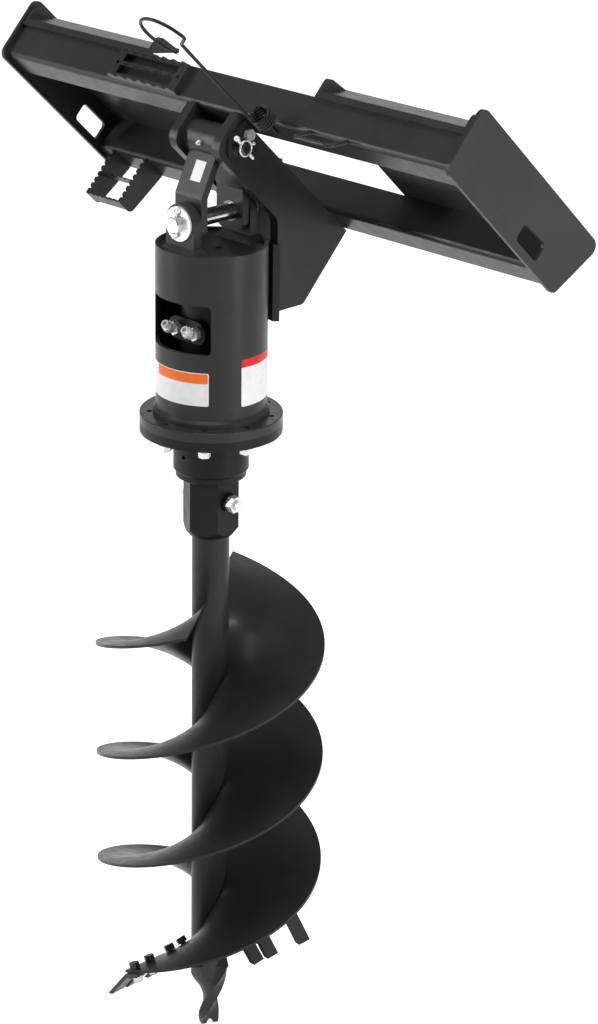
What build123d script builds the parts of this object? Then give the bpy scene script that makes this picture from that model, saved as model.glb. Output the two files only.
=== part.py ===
from build123d import *
import os
from math import acos, asin, atan, atan2, cos, degrees, pi, radians, sin, sqrt, tan

# Earth auger drive for a compact loader, in millimetres.
# +Z is up, X runs along the mounting frame and +Y points towards the loader.
# The origin is the middle of the coupler face that the loader's quick-attach plate bears on.

# Clearances
WELD_GAP = 0.05          # between curved faces of one welded or pressed body
RUN = 0.06               # radial clearance of a running fit
SIDE_PLAY = 0.5          # end play beside a piece that turns

# Mounting frame, laid back as it hangs; s runs down its plate and b runs back from its front edge
FRAME_TILT = 43.6        # degrees
FRAME_WIDTH = 1200.0
END_T = 8.0
END_DEPTH = 139.0
END_FRONT = 421.0        # front edge of an end plate
END_BACK = 470.0         # back edge of an end plate
END_R = 18.0
END_HOLE_LENGTH = 80.0
END_HOLE_WIDTH = 38.0
END_HOLE_TOP = 252.0
END_HOLE_FRONT = 16.0
END_HOLE_R = 9.0

# Formed channels across the frame
CHANNEL_T = 8.0
CHANNEL_TOP = 11.0       # upper channel below the top of the end plates
CHANNEL_FRONT = 10.0     # channel faces behind the front of the end plates
CHANNEL_WIDTH = 72.0
CHANNEL_LIP = 63.0
CHANNEL_BEND = 10.0      # outer bend radius
CHANNEL_DROP = 335.0     # from the upper channel to the lower one

# Coupler: flat plates, hook lip above and lock ledge below
COUPLER_T = 10.0
COUPLER_OPEN = 444.0     # open middle between the two plates
COUPLER_BOTTOM = 425.0   # lower corner of the plate and ledge
HOOK_T = 8.0
HOOK_STRIP = 14.0        # flat part of the lip
HOOK_SLOPE = 54.4        # degrees
HOOK_LENGTH = 72.0
HOOK_RELIEF = 6.0        # groove in the root of the hook
GUSSET_T = 10.0
GUSSET_RISE = 31.0
GUSSET_R = 12.0
LEDGE_T = 10.0
LEDGE_REACH = 44.0
LOCK_SLOT_LENGTH = 60.0
LOCK_SLOT_WIDTH = 28.0
LOCK_SLOT_INSET = 130.0  # middle of a slot from the end of the frame

# Boom plates and cradle
PIN_S = 50.75            # swing pin on the frame
PIN_B = -35.6
BOOM_GAP = 95.0
BOOM_T = 20.0
BOOM_NOSE = 42.0         # from the swing pin to the plate edges
BOOM_NOSE_R = 28.0
BOOM_FRONT = 109.0       # upright edge behind the drive axis
BOOM_KNEE_R = 30.0
BOOM_BOTTOM = 346.0      # below the swing pin
BOOM_TAIL_S = 420.0
BOOM_TAIL_R = 14.0
SADDLE_T = 12.0
SADDLE_R = 228.0         # wider than the housing, so that the drive can tilt
SADDLE_CLEAR = 2.4       # behind the housing
SADDLE_WIDTH = 126.0     # between its front corners
SADDLE_BEVEL = 9.0       # slant of its ends
SADDLE_TOP = 211.0       # below the swing pin
SADDLE_HEIGHT = 154.0

# Swing pin and its keeper
SWING_R = 20.0
SWING_OUT = 25.0         # pin beyond the boom plate on the keeper side
SWING_STEP_R = 16.0
SWING_STEP = 3.5
SWING_END_R = 11.0
SWING_BOSS_R = 30.0      # boss on the boom plate, as thick as the keeper plate
SWING_HEAD_R = 27.0
SWING_HEAD_T = 8.0
KEEPER_LENGTH = 50.0
KEEPER_WIDTH = 27.0
KEEPER_T = 6.0
KEEPER_ANGLE = -47.0     # degrees from level
KEEPER_REACH = 28.5      # from the pin axis to the middle of the plate
KEEPER_BOLT_AF = 21.0
KEEPER_BOLT_R = 6.0
KEEPER_BOLT_OUT = 0.5    # beyond the middle of the plate
LYNCH_R = 3.5
LYNCH_INSET = 6.5        # from the end of the swing pin
LYNCH_REACH = 32.0       # each way from the swing pin's axis
LYNCH_HEAD_R = 6.0
LYNCH_RING_R = 14.5
LYNCH_WIRE_R = 2.0
LYNCH_TAB_ANGLE = 64.0   # degrees from the pin's tip to the thumb tab of its ring
LYNCH_TAB_OUT = 6.5

# Knuckle
KNUCKLE_R = 32.0
BUSH_T = 5.0
STRAP_WIDTH = 71.0
STRAP_T = 16.0
STRAP_TOP_Y = 25.0       # outer face where the strap leaves the tube
STRAP_TOP_Z = 22.0
STRAP_FOOT_Y = 62.0      # outer face of the upright part
STRAP_BEND_Z = 96.0
STRAP_END = 36.0         # below the tilt pin
STRAP_R = 20.0
TILT_DROP = 147.0        # tilt pin below the swing pin
TILT_R = 16.0
TILT_BUSH_T = 4.0
GREASE_R = 4.5

# Drive head
HOUSING_R = 108.0
HOUSING_T = 8.0
HOUSING_TOP = 199.5      # rim below the swing pin
FLANGE_TOP = 537.0
FLANGE_R = 139.0
FLANGE_T = 19.0
COLLAR_T = 5.0
COLLAR_HEIGHT = 14.0
CAP_RECESS = 6.5
CAP_T = 12.0
LUG_WIDTH = 76.0
LUG_T = 20.0
LUG_GAP = 2.0            # between a strap and its lug
LUG_FOOT = 14.0
LUG_FOOT_SPREAD = 12.0
WASHER_R = 33.5
WASHER_T = 5.0
TILT_PIN_OUT = 15.0      # pin beyond each washer
COTTER_R = 3.0
COTTER_LENGTH = 46.0
WINDOW_WIDTH = 154.0
WINDOW_TOP = 295.0
WINDOW_HEIGHT = 97.0
WINDOW_R = 8.0

# Hydraulic motor
MOTOR_R = 58.0
MOTOR_TOP = 236.0
MOTOR_RIB = 5.0
MOTOR_FLANGE_R = 78.0
MOTOR_FLANGE_T = 14.0
PORT_Z = 361.0
PORT_SPACING = 54.0
PORT_BLOCK_H = 46.0
PORT_BLOCK_T = 12.0
PORT_FACE = 66.0         # front of the block from the drive axis
ADAPTER_R = 8.0
ADAPTER_NUT_AF = 24.0
ADAPTER_OUT = 17.0
ADAPTER_TUBE = 21.0
ADAPTER_ANGLE = 45.0

# Planetary gearbox
GEAR_MODULE = 3.0
SUN_TEETH = 15
PLANET_TEETH = 18
PLANETS = 3
GEAR_WIDTH = 32.0
GEAR_BACKLASH = 0.5
PRESSURE_ANGLE = 20.0
RING_SPACE = 4.0         # above and below the gears
SUN_STUB_R = 14.0
SUN_STUB_CLEAR = 0.3
PLANET_PIN_R = 10.0
COVER_T = 16.0
CARRIER_T = 20.0
SHAFT_R = 30.0
SHAFT_ROOM = 4.0
BEARING_R = 52.0
BEARING_T = 24.0
BEARING_GAP = 24.0
SEAL_R = 46.0
SEAL_T = 10.0
NOSE_R = 73.5
NOSE_HEIGHT = 60.0
NOSE_STEP = 4.5
NOSE_END_R = 60.0
NOSE_TAPER = 19.0
DRAIN_R = 3.5
DRAIN_DROP = 37.0        # below the housing flange's joint
FLANGE_BOLTS = 9
FLANGE_PCD = 240.0
FLANGE_BOLT_R = 6.0
FLANGE_BOLT_AF = 19.0
FLANGE_BOLT_HEAD = 9.0
FLANGE_BOLT_SHORT = 8.0  # bolt end below the top of its hole

# Auger
HEX_AF = 50.8
HEX_LENGTH = 108.0
HEX_CLEAR = 0.2
HUB_AF = 98.0
HUB_TOP_GAP = 1.5
HUB_HEIGHT = 134.0
HUB_FLOOR = 26.0
HUB_ROUND = 8.0
HUB_BOLT_DROP = 59.0     # below the top of the hub
HUB_BOLT_R = 9.5
HUB_BOLT_AF = 30.0
HUB_NUT_T = 15.0
HUB_BOLT_END = 7.0
HUB_PAD_R = 19.0
HUB_PAD_T = 8.0
PIPE_R = 37.0
PIPE_T = 6.0
PIPE_LENGTH = 936.0
FLIGHT_R = 228.0
FLIGHT_T = 6.0
FLIGHT_LEAD = 474.8
FLIGHT_TOP = 137.0       # top of the flights below the hub
FLIGHT_HEIGHT = 760.0
FLIGHT_END_ANGLE = 178.4  # degrees from the front, towards +X, to the first flight's lower end
TEETH_FIRST = (80.0, 123.0, 217.0)
TEETH_SECOND = (82.0, 119.0, 176.0, 217.0)
TOOTH_WIDTH = 34.0
TOOTH_T = 8.0
TOOTH_PAD = 30.0
FIRST_BLADE = 97.0       # blade length on each flight
SECOND_BLADE = 78.0
TOOTH_DIP = 52.0         # degrees below level
TOOTH_BACK_LENGTH = 20.0  # bolt behind the end of the flight
TOOTH_BOLT_R = 6.0
TOOTH_BOLT_AF = 19.0
TOOTH_BOLT_HEAD = 12.0
TOOTH_SEAT = 0.6         # over the twist of the flight
PILOT_LENGTH = 162.0     # below the pipe
PILOT_PLUG = 20.0
PILOT_STUB_R = 22.0
PILOT_LAP = 10.0         # stub down over the blade
PILOT_BLADE = 106.0
PILOT_WIDTH = 76.0
PILOT_END_WIDTH = 38.0
PILOT_T = 24.0
PILOT_END_T = 12.0
PILOT_START = 44.0       # degrees from X to the blade's upper end
PILOT_TWIST = 130.0      # degrees
PILOT_STEPS = 6
PILOT_NOTCH = 9.0

# Steps and hose fittings
STEP_T = 4.0
UPPER_STEP_X = -290.0
UPPER_STEP_LENGTH = 188.0
UPPER_STEP_WIDTH = 62.0
UPPER_STEP_FRONT = 5.0   # behind the front of the channel
UPPER_STEP_HEIGHT = 15.0
UPPER_STEP_MARGIN = 20.0
UPPER_STEP_RAIL = 9.0
UPPER_STEP_HOLE_R = 4.0
TREAD_PITCH = 26.6
SERRATION = 14.0
SERRATION_DEPTH = 6.0
LOWER_STEP_INSET = 48.0  # from the end of the frame
LOWER_STEP_WIDTH = 100.0
LOWER_STEP_REACH = 106.0
LOWER_STEP_ROOT = 66.0
LOWER_STEP_END = 45.0
LOWER_STEP_R = 14.0
LOOP_X = 250.0
LOOP_WIDTH = 92.0
LOOP_REACH = 50.0
LOOP_ROD_R = 4.0
LOOP_R = 12.0
ARM_ROD_R = 3.25
COIL_X = 163.0
COIL_B = -0.5
COIL_LOW = -9.5          # lower end of the coil, along s
COIL_TURNS = 4.27
COIL_PITCH = 6.7
COIL_R = 17.8
COIL_KNOB_R = 3.65       # rounded ends of the coil
COIL_TAIL = 55.0
ARM_LENGTH = 237.0
ARM_BALL_R = 4.0
ARM_SEAT_GAP = 0.3       # between the coil's end and the arm's ball
RING_R = 55.0
RING_START = 30.0        # degrees above level
RING_TURN = 223.0
RING_SIDE = -25.0        # middle of the ring from the end of the straight arm
RING_UP = 14.0
RING_LEAD = 16.0
RING_BEND = 9.0

# Values worked out from the sizes above
tilt = radians(FRAME_TILT)
DOWN = Vector(0, cos(tilt), -sin(tilt))
BACK = Vector(0, sin(tilt), cos(tilt))
coupler_b = CHANNEL_FRONT + CHANNEL_WIDTH
coupler_face = coupler_b + COUPLER_T
coupler_middle = (CHANNEL_TOP + COUPLER_BOTTOM) / 2
FRAME = Plane(origin=DOWN * -coupler_middle - BACK * coupler_face, x_dir=(1, 0, 0), z_dir=BACK)
SIDE = Plane(origin=(0, 0, 0), x_dir=(0, 1, 0), z_dir=(1, 0, 0))
FRONT = Plane(origin=(0, 0, 0), x_dir=(1, 0, 0), z_dir=(0, -1, 0))
swing_at = FRAME.from_local_coords((0, PIN_S, PIN_B))
inner_x = FRAME_WIDTH / 2 - END_T
open_x = COUPLER_OPEN / 2
boom_in = BOOM_GAP / 2
boom_out = boom_in + BOOM_T
lug_in = STRAP_FOOT_Y + LUG_GAP
lug_out = lug_in + LUG_T
cap_top = HOUSING_TOP + CAP_RECESS
housing_in = HOUSING_R - HOUSING_T
joint_z = FLANGE_TOP + FLANGE_T
flange_bottom = joint_z + FLANGE_T
sun_r = GEAR_MODULE * SUN_TEETH / 2
planet_r = GEAR_MODULE * PLANET_TEETH / 2
RING_TEETH = SUN_TEETH + 2 * PLANET_TEETH
ring_r = GEAR_MODULE * RING_TEETH / 2
planet_orbit = sun_r + planet_r
ring_top = FLANGE_TOP - GEAR_WIDTH - 2 * RING_SPACE
gear_top = ring_top + RING_SPACE
cover_top = ring_top - COVER_T
carrier_top = FLANGE_TOP
nose_bottom = flange_bottom + NOSE_HEIGHT + NOSE_TAPER
hub_top = nose_bottom + HUB_TOP_GAP
hub_bottom = hub_top + HUB_HEIGHT
pipe_bottom = hub_bottom + PIPE_LENGTH
flight_top = hub_bottom + FLIGHT_TOP
ledge_top = COUPLER_BOTTOM - LEDGE_T * sqrt(2)
ledge_root = COUPLER_BOTTOM - COUPLER_T
keeper_face = boom_out + KEEPER_T
coil_start = 180 - degrees(asin((CHANNEL_FRONT - ARM_ROD_R - WELD_GAP - COIL_B) / COIL_R))
coil_end = radians(coil_start + 360 * COIL_TURNS)
coil_height = COIL_TURNS * COIL_PITCH
arm_x = COIL_X + COIL_R * cos(coil_end)
arm_b = COIL_B + COIL_R * sin(coil_end)
arm_foot = COIL_LOW - coil_height - COIL_KNOB_R - ARM_SEAT_GAP - ARM_BALL_R


def outline(points, radius=0.0):
    """A closed flat outline with rounded corners."""
    return make_face(FilletPolyline(*points, radius=radius, close=True))


def slab(face, x0, x1):
    """A plate across X, its outline drawn in the side plane."""
    return extrude(Pos(x0, 0, 0) * (SIDE * face), amount=x1 - x0, dir=(1, 0, 0))


def on_frame(shape):
    """Moves a shape from the frame's own x, s, b to its place."""
    return FRAME.location * shape


def hang(shape):
    """Moves a shape drawn about the swing pin to its place."""
    return Pos(*swing_at) * shape


def frame_point(s, b):
    """A frame point as y, z about the swing pin."""
    step = DOWN * (s - PIN_S) + BACK * (b - PIN_B)
    return step.Y, step.Z


def rod_x(radius, x0, x1):
    return Pos((x0 + x1) / 2, 0, 0) * Rot(0, 90, 0) * Cylinder(radius, x1 - x0)


def rod_y(radius, y0, y1):
    return Pos(0, (y0 + y1) / 2, 0) * Rot(90, 0, 0) * Cylinder(radius, y1 - y0)


def rod_z(radius, top, bottom):
    """A round bar between two depths below the swing pin."""
    return Pos(0, 0, -(top + bottom) / 2) * Cylinder(radius, bottom - top)


def hex_bar(across_flats, length):
    """A hexagonal bar from z = 0 upwards, flats towards +X and -X."""
    hexagon = Rot(0, 0, 30) * RegularPolygon(across_flats / 2, 6, major_radius=False)
    return extrude(hexagon, amount=length, dir=(0, 0, 1))


def both_sides(piece):
    return piece + mirror(piece, about=Plane.XZ)


def group(pieces):
    """Several solids as one piece."""
    return Compound([solid for piece in pieces for solid in piece.solids()])


# Mounting frame
def end_plate(x0):
    corners = ((0, 0), (0, END_DEPTH), (END_BACK, END_DEPTH), (END_FRONT, 0))
    hole_mid = (END_HOLE_TOP + END_HOLE_LENGTH / 2, END_HOLE_FRONT + END_HOLE_WIDTH / 2)
    hole = Pos(*hole_mid) * RectangleRounded(END_HOLE_LENGTH, END_HOLE_WIDTH, END_HOLE_R)
    return on_frame(slab(outline(corners, END_R) - hole, x0, x0 + END_T))


def channel(top):
    back = CHANNEL_FRONT + CHANNEL_WIDTH
    lip = top + CHANNEL_LIP
    inner = CHANNEL_FRONT + CHANNEL_T
    section = outline(
        ((top, back), (top, CHANNEL_FRONT), (lip, CHANNEL_FRONT),
         (lip, inner), (top + CHANNEL_T, inner), (top + CHANNEL_T, back)),
        (0, CHANNEL_BEND, 0, 0, CHANNEL_BEND - CHANNEL_T, 0))
    return on_frame(slab(section, -inner_x, inner_x))


def hook_points():
    """Outer corners of the bent hook lip, and the directions along and square to its slope."""
    slope = radians(HOOK_SLOPE)
    along = Vector(sin(slope), cos(slope))
    inward = Vector(cos(slope), -sin(slope))
    bend = Vector(CHANNEL_TOP - HOOK_T, coupler_face)
    return bend, along, inward


def hook_lip(x0, x1):
    bend, along, inward = hook_points()
    tip = bend + along * HOOK_LENGTH
    inner_tip = tip + inward * HOOK_T
    inner_bend = bend.Y - HOOK_T * tan(radians(HOOK_SLOPE) / 2)
    start = coupler_face - HOOK_STRIP
    section = outline(
        ((bend.X, start), (bend.X, bend.Y), (tip.X, tip.Y),
         (inner_tip.X, inner_tip.Y), (CHANNEL_TOP, inner_bend), (CHANNEL_TOP, start)))
    return on_frame(slab(section, x0, x1))


def hook_gusset(x0):
    bend, along, _ = hook_points()
    foot = bend + along * (HOOK_LENGTH - GUSSET_R / 2)
    corners = ((bend.X, bend.Y), (bend.X, bend.Y + GUSSET_RISE), (foot.X, foot.Y))
    section = outline(corners, (0, GUSSET_R, 0))
    return on_frame(slab(section, x0, x0 + GUSSET_T))


def coupler_plate(x0, x1):
    """Flat plate with a groove under the hook and a mitred lower edge for the ledge."""
    section = outline(((CHANNEL_TOP, coupler_b), (CHANNEL_TOP, coupler_face - HOOK_RELIEF),
                       (CHANNEL_TOP + 2 * HOOK_RELIEF, coupler_face),
                       (ledge_top, coupler_face), (ledge_root, coupler_b)))
    return on_frame(slab(section, x0, x1))


def lock_ledge(x0, x1, slot_x):
    """A ledge at 45 degrees to the coupler plate, with a slot for the loader's lock pin."""
    tip = ledge_top + LEDGE_REACH
    drop = LEDGE_T / sqrt(2)
    section = outline(((ledge_top, coupler_face), (tip, coupler_face + LEDGE_REACH),
                       (tip + drop, coupler_face + LEDGE_REACH - drop), (ledge_root, coupler_b)))
    middle = Pos(slot_x, ledge_top + LEDGE_REACH / 2, coupler_face + LEDGE_REACH / 2)
    slot = extrude(SlotOverall(LOCK_SLOT_LENGTH, LOCK_SLOT_WIDTH), amount=2 * LEDGE_T, both=True)
    return on_frame(slab(section, x0, x1) - middle * Rot(45, 0, 0) * slot)


def cradle_saddle():
    """Rolled cradle plate behind the housing, with slanting ends."""
    centre = HOUSING_R + SADDLE_CLEAR - SADDLE_R
    half = SADDLE_WIDTH / 2
    faces = []
    for radius, reach in ((SADDLE_R, half), (SADDLE_R + SADDLE_T, half + SADDLE_BEVEL)):
        end_y = centre + sqrt(radius ** 2 - reach ** 2)
        faces.append(ThreePointArc((-reach, end_y), (0, centre + radius), (reach, end_y)))
    inner, outer = faces
    plan = make_face([inner, Line(inner @ 1, outer @ 1), outer, Line(outer @ 0, inner @ 0)])
    return Pos(0, 0, -SADDLE_TOP - SADDLE_HEIGHT) * extrude(plan, amount=SADDLE_HEIGHT, dir=(0, 0, 1))


def boom_plate(x0):
    nose_b = PIN_B - BOOM_NOSE
    knee_s = PIN_S + (BOOM_FRONT + BOOM_NOSE * sin(tilt)) / cos(tilt)
    tail_b = PIN_B + ((BOOM_TAIL_S - PIN_S) * sin(tilt) - BOOM_BOTTOM) / cos(tilt)
    corners = (frame_point(PIN_S - BOOM_NOSE, CHANNEL_FRONT), frame_point(PIN_S - BOOM_NOSE, nose_b),
               frame_point(knee_s, nose_b), (BOOM_FRONT, -BOOM_BOTTOM),
               frame_point(BOOM_TAIL_S, tail_b), frame_point(BOOM_TAIL_S, CHANNEL_FRONT))
    face = outline(corners, (0, BOOM_NOSE_R, BOOM_KNEE_R, 0, BOOM_TAIL_R, 0))
    return slab(face, x0, x0 + BOOM_T) - cradle_saddle() - rod_x(SWING_R + WELD_GAP, -boom_out, boom_out)


# Swing pin with its keeper
def pin_boss():
    """Boss round the swing pin on the keeper side, cut away for the keeper plate."""
    ring = rod_x(SWING_BOSS_R, boom_out, keeper_face)
    ring = ring - rod_x(SWING_R + WELD_GAP, boom_out, keeper_face)
    return ring - keeper_place() * keeper_blank()


def swing_pin():
    """Headed pin with a notch for the keeper plate and a thinner end for the locking pin."""
    head = rod_x(SWING_HEAD_R, -boom_out - SWING_HEAD_T, -boom_out)
    shank = rod_x(SWING_R, -boom_out, keeper_face)
    shank = shank + rod_x(SWING_STEP_R, keeper_face, keeper_face + SWING_STEP)
    end = rod_x(SWING_END_R, keeper_face, boom_out + SWING_OUT)
    pin = head + shank + end
    pin = chamfer(pin.edges().group_by(Axis.X)[-1], SWING_END_R / 8)
    return pin - keeper_place() * keeper_blank() - lynch_hole()


def keeper_place():
    across = radians(KEEPER_ANGLE + 90)
    return Pos(boom_out, KEEPER_REACH * cos(across), KEEPER_REACH * sin(across)) * Rot(KEEPER_ANGLE, 0, 0)


def keeper_blank():
    face = RectangleRounded(KEEPER_LENGTH, KEEPER_WIDTH, KEEPER_WIDTH / 8)
    return slab(face, 0, KEEPER_T)


def keeper_plate():
    hole = Pos(0, 0, KEEPER_BOLT_OUT) * rod_x(KEEPER_BOLT_R + WELD_GAP, 0, KEEPER_T)
    return keeper_place() * (keeper_blank() - hole)


def keeper_bolt():
    head = Pos(KEEPER_T, 0, 0) * Rot(0, 90, 0) * hex_bar(KEEPER_BOLT_AF, 1.5 * KEEPER_BOLT_R)
    return keeper_place() * Pos(0, 0, KEEPER_BOLT_OUT) * (head + rod_x(KEEPER_BOLT_R, 0, KEEPER_T))


def lynch_axis():
    return Pos(boom_out + SWING_OUT - LYNCH_INSET, 0, 0) * Rot(KEEPER_ANGLE - 90, 0, 0)


def lynch_hole():
    return lynch_axis() * Cylinder(LYNCH_R + WELD_GAP, 4 * SWING_END_R)


def lynch_pin():
    """A locking pin across the swing pin, with a round head and a snap ring with its thumb tab."""
    shank = Cylinder(LYNCH_R, 2 * LYNCH_REACH)
    head = Pos(0, 0, LYNCH_HEAD_R / 2 - LYNCH_REACH) * Sphere(LYNCH_HEAD_R)
    ring = Rot(0, 90, 0) * Torus(LYNCH_RING_R, LYNCH_WIRE_R)
    leg = Pos(0, 0, LYNCH_RING_R + LYNCH_TAB_OUT / 2) * Cylinder(0.8 * LYNCH_WIRE_R, LYNCH_TAB_OUT)
    tab = Pos(0, 0, LYNCH_RING_R + LYNCH_TAB_OUT) * Sphere(1.8 * LYNCH_WIRE_R)
    ring = ring + Rot(LYNCH_TAB_ANGLE, 0, 0) * (leg + tab)
    return lynch_axis() * (shank + head + Pos(LYNCH_R, 0, 0) * ring)


# Knuckle
def knuckle_tube():
    half = boom_in - SIDE_PLAY
    bore = SWING_R + RUN + BUSH_T + WELD_GAP
    tube = rod_x(KNUCKLE_R, -half, half) - rod_x(bore, -half, half)
    grease_hole = rod_y(GREASE_R * 0.6, -KNUCKLE_R - 1, 0)
    return tube - grease_hole


def knuckle_bushes():
    half = boom_in - SIDE_PLAY
    length = half * 0.7
    ring = rod_x(SWING_R + RUN + BUSH_T, half - length, half) - rod_x(SWING_R + RUN, half - length, half)
    return group([ring, mirror(ring, about=Plane.YZ)])


def strap():
    """Rear strap: welded under the cross tube, bent upright and bored for the tilt pin."""
    lean = atan2(STRAP_FOOT_Y - STRAP_TOP_Y, STRAP_BEND_Z - STRAP_TOP_Z)
    up = Vector(-sin(lean), cos(lean)) * STRAP_TOP_Z
    inward = Vector(-cos(lean), -sin(lean)) * STRAP_T
    top = Vector(STRAP_TOP_Y, -STRAP_TOP_Z) + up
    inner_top = top + inward
    inner_y = STRAP_FOOT_Y - STRAP_T
    inner_bend = STRAP_BEND_Z + STRAP_T * tan(lean / 2)
    end = TILT_DROP + STRAP_END
    section = outline(((top.X, top.Y), (STRAP_FOOT_Y, -STRAP_BEND_Z), (STRAP_FOOT_Y, -end),
                       (inner_y, -end), (inner_y, -inner_bend), (inner_top.X, inner_top.Y)),
                      (0, STRAP_T, 0, 0, 0, 0))
    blank = slab(section, -STRAP_WIDTH / 2, STRAP_WIDTH / 2)
    blank = fillet(blank.edges().filter_by(Axis.Y).group_by(Axis.Z)[0], STRAP_R)
    bore = Pos(0, 0, -TILT_DROP) * rod_y(TILT_R + RUN + TILT_BUSH_T + WELD_GAP, 0, STRAP_FOOT_Y + 1)
    return blank - rod_x(KNUCKLE_R + WELD_GAP, -STRAP_WIDTH, STRAP_WIDTH) - bore


def strap_bushes():
    outer = rod_y(TILT_R + RUN + TILT_BUSH_T, STRAP_FOOT_Y - STRAP_T, STRAP_FOOT_Y)
    ring = Pos(0, 0, -TILT_DROP) * (outer - rod_y(TILT_R + RUN, STRAP_FOOT_Y - STRAP_T, STRAP_FOOT_Y))
    return group([ring, mirror(ring, about=Plane.XZ)])


def grease_fitting():
    stem = rod_y(GREASE_R * 0.6 - WELD_GAP, -KNUCKLE_R - GREASE_R, -KNUCKLE_R + BUSH_T)
    body = Pos(0, -KNUCKLE_R, 0) * Rot(90, 0, 0) * hex_bar(2 * GREASE_R, GREASE_R)
    tip = Pos(0, -KNUCKLE_R - 1.6 * GREASE_R, 0) * Sphere(0.75 * GREASE_R)
    return stem + body + tip


# Drive head
def drive_housing():
    tube = rod_z(HOUSING_R, HOUSING_TOP, FLANGE_TOP) - rod_z(housing_in, HOUSING_TOP, FLANGE_TOP)
    window = FRONT * RectangleRounded(WINDOW_WIDTH, WINDOW_HEIGHT, WINDOW_R)
    cut = extrude(window, amount=2 * HOUSING_R, dir=(0, -1, 0))
    return tube - Pos(0, 0, -WINDOW_TOP - WINDOW_HEIGHT / 2) * cut


def top_plate():
    disc = rod_z(housing_in - WELD_GAP, cap_top, cap_top + CAP_T)
    drain = Pos(STRAP_WIDTH / 4, 0, 0) * rod_z(2 * COTTER_R, cap_top, cap_top + CAP_T)
    return disc - drain


def lug():
    """Rear lug for the tilt pin, with the weld around its foot."""
    height = cap_top - TILT_DROP
    face = Circle(LUG_WIDTH / 2) + Pos(0, -height / 2) * Rectangle(LUG_WIDTH, height)
    plate = Pos(0, lug_out, -TILT_DROP) * extrude(FRONT * face, amount=LUG_T, dir=(0, -1, 0))
    spread = 2 * LUG_FOOT_SPREAD
    foot = extrude(Rectangle(LUG_WIDTH + spread, LUG_T + spread), amount=LUG_FOOT,
                   taper=degrees(atan(LUG_FOOT_SPREAD / LUG_FOOT)))
    foot = Pos(0, (lug_in + lug_out) / 2, -cap_top) * foot
    foot = foot & rod_z(housing_in - WELD_GAP, HOUSING_TOP - LUG_FOOT, cap_top)
    room = rod_y(TILT_R + RUN, lug_in - LUG_T, lug_out + LUG_T)
    return plate + foot - Pos(0, 0, -TILT_DROP) * room


def tilt_pin():
    end = lug_out + WASHER_T + TILT_PIN_OUT
    pin = rod_y(TILT_R, -end, end)
    pin = chamfer(pin.edges().filter_by(GeomType.CIRCLE), 2)
    holes = both_sides(Pos(0, cotter_y(), 0) * Cylinder(COTTER_R + WELD_GAP, 4 * TILT_R))
    return Pos(0, 0, -TILT_DROP) * (pin - holes)


def cotter_y():
    return lug_out + WASHER_T + COTTER_R + 1


def tilt_washers():
    outer = rod_y(WASHER_R, lug_out, lug_out + WASHER_T)
    ring = Pos(0, 0, -TILT_DROP) * (outer - rod_y(TILT_R + WELD_GAP, lug_out, lug_out + WASHER_T))
    return group([ring, mirror(ring, about=Plane.XZ)])


def cotter_pins():
    shank = Cylinder(COTTER_R, COTTER_LENGTH)
    eye = Pos(0, 0, COTTER_LENGTH / 2 + COTTER_R) * Rot(90, 0, 0) * Torus(1.6 * COTTER_R, 0.6 * COTTER_R)
    leg = Pos(0, 0, -2 * COTTER_R) * Cylinder(0.6 * COTTER_R, 4 * COTTER_R)
    leg = Pos(0, 0, -COTTER_LENGTH / 2) * Rot(0, 60, 0) * leg
    pin = Pos(0, cotter_y(), -TILT_DROP) * (shank + eye + leg)
    return group([pin, mirror(pin, about=Plane.XZ)])


def hydraulic_motor():
    """Motor body of stacked rounds, with a flat pad for the port block and a socket for the sun gear."""
    flange_top = cover_top - MOTOR_FLANGE_T
    body = rod_z(MOTOR_R, MOTOR_TOP, flange_top)
    ribs = [rod_z(MOTOR_R + MOTOR_RIB, at, at + 2 * MOTOR_RIB)
            for at in (MOTOR_TOP + 4 * MOTOR_RIB, WINDOW_TOP + 3 * MOTOR_RIB)]
    foot = rod_z(MOTOR_FLANGE_R, flange_top, cover_top)
    pad_front = PORT_FACE - PORT_BLOCK_T
    pad = Pos(0, -pad_front / 2, -PORT_Z) * Box(PORT_SPACING, pad_front, PORT_BLOCK_H)
    socket = rod_z(SUN_STUB_R + SUN_STUB_CLEAR, flange_top - MOTOR_FLANGE_T, cover_top)
    flat = Pos(0, -2 * pad_front, -PORT_Z) * Box(4 * MOTOR_R, 2 * pad_front, PORT_BLOCK_H)
    return body + ribs[0] + ribs[1] + foot + pad - flat - socket


def port_block():
    face = SlotOverall(PORT_SPACING + PORT_BLOCK_H, PORT_BLOCK_H)
    block = extrude(FRONT * face, amount=PORT_BLOCK_T, dir=(0, -1, 0))
    return Pos(0, -PORT_FACE + PORT_BLOCK_T, -PORT_Z) * block


def hose_adapters():
    """Two elbow adapters, straight out of the block and then turned up."""
    base = Rot(90, 0, 0) * hex_bar(ADAPTER_NUT_AF, ADAPTER_OUT * 0.6)
    neck = rod_y(ADAPTER_R, -ADAPTER_OUT, 0)
    knee = Pos(0, -ADAPTER_OUT, 0)
    turned = knee * Rot(-ADAPTER_ANGLE, 0, 0)
    tube = turned * rod_y(ADAPTER_R, -ADAPTER_TUBE, 0)
    nut = Rot(90, 0, 0) * hex_bar(ADAPTER_NUT_AF * 0.85, ADAPTER_TUBE * 0.35)
    nut = turned * Pos(0, -ADAPTER_TUBE * 0.25, 0) * nut
    bore = turned * rod_y(ADAPTER_R * 0.6, -ADAPTER_TUBE, -ADAPTER_TUBE * 0.4)
    elbow = base + neck + knee * Sphere(ADAPTER_R) + tube + nut - bore
    return group([Pos(side * PORT_SPACING / 2, -PORT_FACE, -PORT_Z) * elbow for side in (-1, 1)])


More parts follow.
